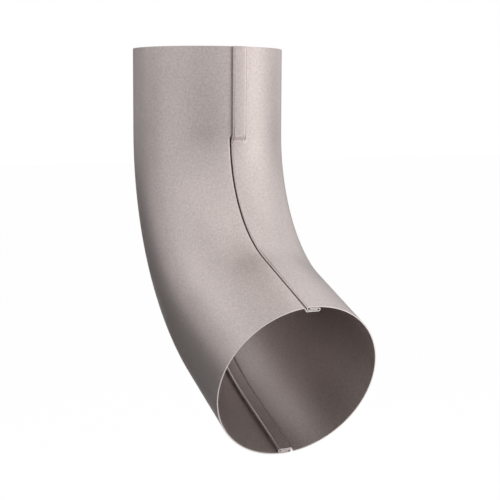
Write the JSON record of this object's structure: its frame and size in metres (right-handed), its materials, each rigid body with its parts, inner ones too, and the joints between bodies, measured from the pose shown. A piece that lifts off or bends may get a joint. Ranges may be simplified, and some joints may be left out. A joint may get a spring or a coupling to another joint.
{
  "type": "downspout elbow",
  "caption": "Round sheet-steel downspout elbow, pressed as half-shells and locked together along folded seams on the inside and outside of the bend.",
  "frame": {"origin": "centre of the inlet socket's mouth", "axes": "+Z along the inlet socket's axis, out of its mouth; the bend lies in the XZ plane and the outlet turns towards +X"},
  "size_m": [0.1825, 0.0882, 0.2122],
  "materials": {
    "coated_steel": "satin silver-grey metallic coating"
  },
  "bodies": {
    "root": {"left_half_shell": "coated_steel", "right_half_shell": "coated_steel"}
  },
  "joints": []
}
